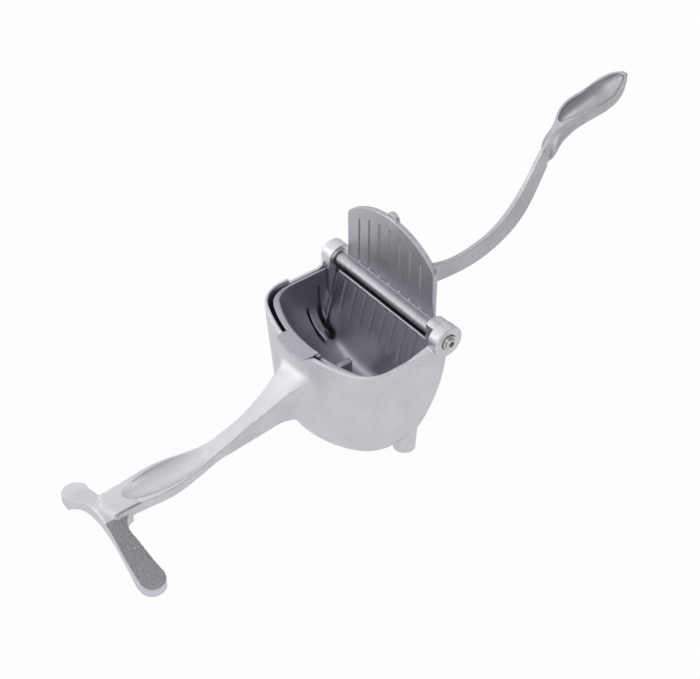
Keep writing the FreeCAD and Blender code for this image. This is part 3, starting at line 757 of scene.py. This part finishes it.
@dataclass
class SoftCasting:
    """A casting whose edges and corners are soft, as they come out of a sand mould.

    The node's solid is covered with an even skin of small faces. The skin is then relaxed:
    each vertex moves a share of the way to its neighbours' mean, in turn forwards and
    slightly more backwards, which rounds what is smaller than a few faces and keeps the rest.
    """

    node: str
    name: str
    slot: str
    body: str
    voxel: float
    steady_rounds: int = 6
    soft_rounds: int = 2
    zones: tuple[SoftZone, ...] = ()
    forward: float = 0.5
    backward: float = -0.52
    bend_rounds: int = 3
    most_triangles: int = 190_000
    seam: float = 2e-6

    def skin(self) -> bpy.types.Mesh:
        """Cover the node's solid with an even skin, whose vertices lie on it.

        Returns:
            The skin's mesh, in no object.
        """
        source = bpy.data.meshes.new(self.name + "_source")
        work = bmesh.new()
        work.from_mesh(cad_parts[self.node].data)
        bmesh.ops.remove_doubles(work, verts=work.verts, dist=self.seam)
        work.to_mesh(source)
        work.free()
        solid = link(self.name + "_solid", source)
        cover = link(self.name + "_cover", source)
        remesh = cover.modifiers.new("skin", "REMESH")
        remesh.mode = "VOXEL"
        remesh.voxel_size = self.voxel
        seat = cover.modifiers.new("seat", "SHRINKWRAP")
        seat.target = solid
        seat.wrap_method = "NEAREST_SURFACEPOINT"
        mesh = applied(cover)
        bpy.data.objects.remove(solid)
        bpy.data.meshes.remove(source)
        return mesh

    def thin(self, mesh: bpy.types.Mesh) -> bpy.types.Mesh:
        """Collapse the edges that the skin needs least, down to the most triangles.

        Args:
            mesh: The finished skin.

        Returns:
            The same mesh, or a thinner one in its place.
        """
        triangles = sum(len(face.vertices) - 2 for face in mesh.polygons)
        if triangles <= self.most_triangles:
            return mesh
        cover = link(self.name + "_cover", mesh)
        collapse = cover.modifiers.new("thin", "DECIMATE")
        collapse.ratio = self.most_triangles / triangles
        thinner = applied(cover)
        bpy.data.meshes.remove(mesh)
        return thinner

    def melt(self, points: np.ndarray, edges: np.ndarray, zone: SoftZone) -> np.ndarray:
        """Round one zone: its vertices go to their neighbours' mean, again and again.

        Args:
            points: The skin's vertices.
            edges: Its edges, two vertex numbers each.
            zone: Where it is rounded and how often.

        Returns:
            The vertices' new places.
        """
        share = zone.share(points)
        near = edges[(share[edges] > 0.0).any(axis=1)]
        used, local = np.unique(near, return_inverse=True)
        local = local.reshape(-1, 2)
        degree = np.bincount(local.ravel(), minlength=len(used))
        part, weight = points[used], share[used][:, None]
        for _ in range(zone.rounds):
            part = part + weight * (neighbour_mean(part, local, degree) - part)
        melted = points.copy()
        melted[used] = part
        return melted

    def relax(self, mesh: bpy.types.Mesh) -> None:
        """Round the skin and store how strongly it bends at each vertex.

        Args:
            mesh: The skin, changed in place.
        """
        count = len(mesh.vertices)
        points = np.empty(count * 3)
        mesh.vertices.foreach_get("co", points)
        points = points.reshape(-1, 3)
        edges = np.empty(len(mesh.edges) * 2, np.int32)
        mesh.edges.foreach_get("vertices", edges)
        edges = edges.reshape(-1, 2)
        degree = np.maximum(np.bincount(edges.ravel(), minlength=count), 1)
        shares = [self.forward, self.backward] * self.steady_rounds
        shares += [self.forward] * self.soft_rounds
        for share in shares:
            points = points + share * (neighbour_mean(points, edges, degree) - points)
        for zone in self.zones:
            points = self.melt(points, edges, zone)
        low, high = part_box(self.node)
        points = np.clip(points, np.array(low), np.array(high))
        mesh.vertices.foreach_set("co", points.ravel())
        mesh.update()
        normals = np.empty(count * 3)
        mesh.vertices.foreach_get("normal", normals)
        normals = normals.reshape(-1, 3)
        offset = points - neighbour_mean(points, edges, degree)
        bend = np.sum(offset * normals, axis=1)[:, None] / self.voxel
        for _ in range(self.bend_rounds):
            bend = 0.5 * (bend + neighbour_mean(bend, edges, degree))
        store = mesh.attributes.new("bend", "FLOAT", "POINT")
        store.data.foreach_set("value", bend.ravel().astype(np.float32))

    def build(self, material: bpy.types.Material) -> bpy.types.Object:
        """Make the piece, dress it and put it on its body.

        Args:
            material: The casting's material.

        Returns:
            The finished piece.
        """
        mesh = self.skin()
        self.relax(mesh)
        mesh = self.thin(mesh)
        mesh.name = self.name
        mesh.materials.clear()
        mesh.materials.append(material)
        mesh.shade_smooth()
        piece = link(self.name, mesh)
        settle(piece, self.body, self.node)
        return piece


def settle(piece: bpy.types.Object, body: str, node: str) -> None:
    """Put a piece on its body in the place of a node, and report it.

    Args:
        piece: The finished object.
        body: The body that it moves with.
        node: The node that it stands for.
    """
    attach(piece, body)
    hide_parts(node)
    LOG.info("%s: %d faces on %s", piece.name, len(piece.data.polygons), body)


@dataclass
class HingeHardware:
    """The screw, washer and nut of the hinge, turned about the pin's axis along Y."""

    sides: int = 96
    socket_apothem: float = 1.25 * MILLIMETRE
    socket_depth: float = 2.4 * MILLIMETRE
    collar_radius: float = 2.7 * MILLIMETRE
    collar_height: float = 1.2 * MILLIMETRE
    head_height: float = 3.2 * MILLIMETRE
    shank_radius: float = 2.0 * MILLIMETRE
    bore_radius: float = 2.05 * MILLIMETRE
    chamfer: float = 0.3 * MILLIMETRE
    edge_width: float = 0.08 * MILLIMETRE
    nut_drop: float = 0.4 * MILLIMETRE
    nut_turned: float = 1.03
    pin_height: float = field(init=False)

    def __post_init__(self) -> None:
        """Take the pin's height from the washer."""
        low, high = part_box("hinge_washer")
        self.pin_height = 0.5 * (low.z + high.z)

    def hexagon(self, apothem: float) -> np.ndarray:
        """Return a hexagon's radius at each angle.

        It is the apothem over the cosine of the angle to the nearest flat's middle.

        Args:
            apothem: The distance from the middle to a flat.

        Returns:
            One radius for each side of the turned form.
        """
        angles = np.arange(self.sides) * TURN / self.sides
        to_flat = (angles + TURN / 12) % (TURN / 6) - TURN / 12
        return apothem / np.cos(to_flat)

    def ring(self, radius: float) -> np.ndarray:
        """Return a circle's radius at each angle."""
        return np.full(self.sides, radius)

    def turned(self, name: str, rings: list[tuple[float, np.ndarray]], closed: bool) -> bpy.types.Object:
        """Carry rings of given radius along the pin's axis.

        A point at angle a on the ring at y is (r(a) cos a, y, pin height + r(a) sin a).

        Args:
            name: The piece's name.
            rings: Each ring's place along Y and its radius at each angle.
            closed: True where the last ring joins the first.

        Returns:
            The new object.
        """
        angles = np.arange(self.sides) * TURN / self.sides
        along = np.array([place for place, _ in rings])[:, None]
        radii = np.stack([radius for _, radius in rings])
        points = np.stack([
            radii * np.cos(angles),
            np.broadcast_to(along, radii.shape),
            self.pin_height + radii * np.sin(angles),
        ], axis=-1)
        piece = object_from_grid(name, points, closed)
        rounded_edges(piece, self.edge_width)
        return piece

    def screw(self) -> bpy.types.Object:
        """Make the socket-head screw with its stepped head.

        Returns:
            The screw, which is also the pin.
        """
        low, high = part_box("hinge_screw")
        head_radius = 0.5 * (high.z - low.z)
        face, end = low.y, high.y
        step = face + self.collar_height
        seat = step + self.head_height
        mouth = self.socket_apothem * 2 / math.sqrt(3) + 0.5 * self.chamfer
        rings = [
            (face + self.socket_depth, self.ring(0.0)),
            (face + self.socket_depth, self.hexagon(self.socket_apothem)),
            (face + 0.5 * self.chamfer, self.hexagon(self.socket_apothem)),
            (face, self.ring(mouth)),
            (face, self.ring(self.collar_radius - self.chamfer)),
            (face + self.chamfer, self.ring(self.collar_radius)),
            (step, self.ring(self.collar_radius)),
            (step, self.ring(head_radius - self.chamfer)),
            (step + self.chamfer, self.ring(head_radius)),
            (seat, self.ring(head_radius)),
            (seat, self.ring(self.shank_radius)),
            (end - self.chamfer, self.ring(self.shank_radius)),
            (end, self.ring(self.shank_radius - self.chamfer)),
            (end, self.ring(0.0)),
        ]
        return self.turned("hinge_screw_turned", rings, False)

    def washer(self) -> bpy.types.Object:
        """Make the thrust washer.

        Returns:
            The washer.
        """
        low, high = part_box("hinge_washer")
        radius = 0.5 * (high.z - low.z)
        soft = 0.5 * self.chamfer
        rings = [
            (low.y, self.ring(self.bore_radius)),
            (low.y, self.ring(radius - soft)),
            (low.y + soft, self.ring(radius)),
            (high.y - soft, self.ring(radius)),
            (high.y, self.ring(radius - soft)),
            (high.y, self.ring(self.bore_radius)),
        ]
        return self.turned("hinge_washer_turned", rings, True)

    def nut(self) -> bpy.types.Object:
        """Make the nut, whose corners are turned off at both faces.

        Returns:
            The nut.
        """
        low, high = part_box("hinge_nut")
        apothem = 0.5 * (high.z - low.z)
        flat = self.hexagon(apothem)
        turned_off = np.minimum(flat, self.nut_turned * apothem)
        rings = [
            (low.y, self.ring(self.bore_radius)),
            (low.y, turned_off),
            (low.y + self.nut_drop, flat),
            (high.y - self.nut_drop, flat),
            (high.y, turned_off),
            (high.y, self.ring(self.bore_radius)),
        ]
        return self.turned("hinge_nut_turned", rings, True)

    def build(self, steel: dict[str, bpy.types.Material]) -> None:
        """Make the three pieces and put them on the pot.

        Args:
            steel: Materials by slot name.
        """
        made = (
            (self.screw(), "screw_steel", "hinge_screw"),
            (self.washer(), "washer_steel", "hinge_washer"),
            (self.nut(), "nut_steel", "hinge_nut"),
        )
        for piece, slot, node in made:
            piece.data.materials.append(steel[slot])
            settle(piece, "pot", node)


@dataclass(frozen=True)
class RayKinds:
    """The rays that see the white backdrop, as shader values of 0 or 1."""

    direct: bpy.types.NodeSocket
    mirrored: bpy.types.NodeSocket

    @classmethod
    def on(cls, bench: NodeBench) -> RayKinds:
        """Tell the rays apart: direct ones come from the camera or through glass.

        Args:
            bench: The material's or the world's bench.

        Returns:
            The two kinds.
        """
        path = bench.add("ShaderNodeLightPath").outputs
        direct = bench.math("MAXIMUM", path["Is Camera Ray"], path["Is Transmission Ray"])
        return cls(direct, path["Is Glossy Ray"])

    def seen(self, bench: NodeBench, level: object) -> bpy.types.NodeSocket:
        """Say how much of the backdrop each ray sees.

        Args:
            bench: The same bench.
            level: The share that mirrored rays see, a socket or a number.

        Returns:
            The share's socket: 1 for direct rays.
        """
        return bench.math("MAXIMUM", self.direct, bench.math("MULTIPLY", self.mirrored, level))


@dataclass
class Studio:
    """The floor, the backdrop, the lamps and the camera."""

    floor_size: float = 6.0
    floor_colour: tuple[float, float, float] = (0.9, 0.9, 0.9)
    seen_share: float = 0.96
    mirrored_share: float = 0.70
    world_level: float = 0.55
    bright_side: tuple[float, float, float] = (-0.60, 0.70, 0.38)
    side_range: tuple[float, float] = (-0.7, 0.9)
    dim_level: float = 0.34
    bright_level: float = 1.14
    camera: CameraPlace = field(default_factory=CameraPlace)
    lamps: tuple[Lamp, ...] = (
        Lamp("key_lamp", (-0.88, 0.74, 0.38), 0.4, 0.9),
        Lamp("front_lamp", (-0.55, -0.85, 0.7), 0.8, 2.0),
        Lamp("side_lamp", (0.8, -0.3, 0.9), 0.5, 1.2),
    )
    target: tuple[float, float, float] = (-0.01, 0.0, 0.05)

    def make_floor(self) -> None:
        """Lay a plain pale floor that keeps the squeezer's shadow."""
        half = 0.5 * self.floor_size
        mesh = bpy.data.meshes.new("floor")
        corners = [(-half, -half, 0), (half, -half, 0), (half, half, 0), (-half, half, 0)]
        mesh.from_pydata(corners, [], [(0, 1, 2, 3)])
        floor = link("floor", mesh)
        material = bpy.data.materials.new("floor_pale")
        material.use_nodes = True
        bench = NodeBench(material.node_tree)
        plain = bench.add("ShaderNodeBsdfDiffuse")
        bench.put(plain.inputs["Color"], self.floor_colour)
        white = bench.add("ShaderNodeEmission")
        white.inputs["Strength"].default_value = 1.0
        seen = RayKinds.on(bench).seen(bench, self.mirrored_share)
        mix = bench.add("ShaderNodeMixShader")
        bench.put(mix.inputs[0], bench.math("MULTIPLY", seen, self.seen_share))
        bench.put(mix.inputs[1], plain.outputs[0])
        bench.put(mix.inputs[2], white.outputs[0])
        end = bench.add("ShaderNodeOutputMaterial")
        bench.put(end.inputs["Surface"], mix.outputs[0])
        mesh.materials.append(material)

    def make_world(self) -> None:
        """Give the world a plain level for light, white where it is seen, and a mirrored slope.

        Mirrored rays meet a level that climbs from dim to bright towards the bright side.
        """
        world = bpy.data.worlds.new("studio")
        bpy.context.scene.world = world
        world.use_nodes = True
        bench = NodeBench(world.node_tree)
        rays = RayKinds.on(bench)
        side = bench.add("ShaderNodeVectorMath", operation="DOT_PRODUCT")
        bench.put(side.inputs[0], bench.add("ShaderNodeTexCoord").outputs["Generated"])
        side.inputs[1].default_value = self.bright_side
        slope = bench.span(
            side.outputs["Value"], *self.side_range, self.dim_level, self.bright_level,
        )
        unseen = bench.math("SUBTRACT", 1.0, rays.seen(bench, 1.0))
        light = bench.math("MULTIPLY", unseen, self.world_level)
        level = bench.math("ADD", rays.seen(bench, slope), light)
        white = bench.add("ShaderNodeBackground")
        white.inputs["Color"].default_value = (1.0, 1.0, 1.0, 1.0)
        bench.put(white.inputs["Strength"], level)
        end = bench.add("ShaderNodeOutputWorld")
        bench.put(end.inputs["Surface"], white.outputs[0])

    def make_lamp(self, lamp: Lamp) -> None:
        """Hang one lamp that looks at the squeezer.

        Args:
            lamp: The lamp's place, size and power.
        """
        data = bpy.data.lights.new(lamp.name, "AREA")
        data.shape = "SQUARE"
        data.size = lamp.size
        data.energy = lamp.power
        made = bpy.data.objects.new(lamp.name, data)
        made.location = lamp.position
        aim = Vector(self.target) - Vector(lamp.position)
        made.rotation_mode = "QUATERNION"
        made.rotation_quaternion = aim.to_track_quat("-Z", "Y")
        bpy.context.scene.collection.objects.link(made)

    def make_camera(self) -> None:
        """Set up the camera from its azimuth and elevation."""
        place = self.camera
        azimuth = math.radians(place.azimuth_deg)
        elevation = math.radians(place.elevation_deg)
        right = Vector((math.cos(azimuth), math.sin(azimuth), 0.0))
        back = Vector((
            math.sin(azimuth) * math.cos(elevation),
            -math.cos(azimuth) * math.cos(elevation),
            math.sin(elevation),
        ))
        up = back.cross(right)
        turned = Matrix((right, up, back)).transposed().to_4x4()
        data = bpy.data.cameras.new("camera")
        data.lens = place.lens_mm
        data.sensor_width = place.sensor_mm
        data.clip_start = 0.01
        data.clip_end = 50.0
        made = bpy.data.objects.new("camera", data)
        made.matrix_world = Matrix.Translation(Vector(place.position)) @ turned
        bpy.context.scene.collection.objects.link(made)
        bpy.context.scene.camera = made

    def build(self) -> None:
        """Make the whole studio."""
        self.make_floor()
        self.make_world()
        for lamp in self.lamps:
            self.make_lamp(lamp)
        self.make_camera()
        bpy.context.scene.view_settings.view_transform = "Standard"


CAST = MetalFinish(
    "cast_aluminium_tumbled", Surface.TUMBLED, (0.70, 0.685, 0.73), (0.59, 0.575, 0.62), 0.36,
)
# The cup's darker tone than the cast aluminium is painted shade, standing in for the shade inside the
# pot's bowl.
CUP_WITH_PAINTED_SHADE = MetalFinish(
    "cup_aluminium_tumbled_painted_shade", Surface.TUMBLED, (0.47, 0.46, 0.51), (0.37, 0.36, 0.41), 0.32,
)
# The arm's darker tone than the cast aluminium is painted reflection, standing in for the dark
# surroundings that the press plate and lever mirror.
ARM_WITH_PAINTED_REFLECTION = MetalFinish(
    "arm_aluminium_brushed_painted_reflection", Surface.BRUSHED, (0.53, 0.52, 0.555), (0.43, 0.42, 0.455), 0.38,
)
SCREW = MetalFinish(
    "screw_steel_turned", Surface.TURNED, (0.62, 0.61, 0.59), (0.5, 0.49, 0.47), 0.22,
    grain_depth=0.00001, blotch_scale=200.0,
)
WASHER = MetalFinish(
    "washer_steel_turned", Surface.TURNED, (0.6, 0.6, 0.59), (0.48, 0.48, 0.47), 0.26,
    grain_depth=0.00001, blotch_scale=200.0,
)
NUT = MetalFinish(
    "nut_steel_turned", Surface.TURNED, (0.6, 0.6, 0.59), (0.48, 0.48, 0.47), 0.28,
    grain_depth=0.00001, blotch_scale=200.0,
)

# The handle on the pot, the cup's floor, the foot on the handle, and the leaf on the lever.
HANDLE_ROOT = SoftZone((-0.060, -0.026, 0.010), (-0.038, 0.026, 0.055), 0.006, 120)
CUP_FLOOR = SoftZone((-0.0195, -0.029, 0.010), (0.006, 0.029, 0.040), 0.007, 420)
FOOT_ROOT = SoftZone((-0.1600, -0.0180, 0.008), (-0.1437, 0.0180, 0.030), 0.0035, 8)
LEAF_ROOT = SoftZone((0.0930, -0.0080, 0.0925), (0.1060, 0.0080, 0.1160), 0.0030, 55)


def main() -> None:
    """Build the studio and every piece of the squeezer, in order."""
    logging.basicConfig(level=logging.INFO)
    Studio().build()
    shop = MetalShop(EffectGroups())
    pot = SoftCasting(
        "pot_casting", "pot_cast", "cast_aluminium", "pot", 0.40 * MILLIMETRE,
        steady_rounds=8, zones=(HANDLE_ROOT, FOOT_ROOT),
    )
    pot.build(shop.make(CAST, sand=True))
    cup = SoftCasting(
        "strainer_cup", "strainer_cup_cast", "cup_aluminium", "cup", 0.475 * MILLIMETRE,
        steady_rounds=4, soft_rounds=1, zones=(CUP_FLOOR,),
    )
    cup.build(shop.make(CUP_WITH_PAINTED_SHADE))
    arm = SoftCasting(
        "press_arm", "press_arm_cast", "arm_aluminium", "press", 0.32 * MILLIMETRE,
        steady_rounds=5, soft_rounds=1, zones=(LEAF_ROOT,),
    )
    arm.build(shop.make(ARM_WITH_PAINTED_REFLECTION))
    HingeHardware().build({
        "screw_steel": shop.make(SCREW),
        "washer_steel": shop.make(WASHER),
        "nut_steel": shop.make(NUT),
    })


if __name__ == "__main__":
    main()
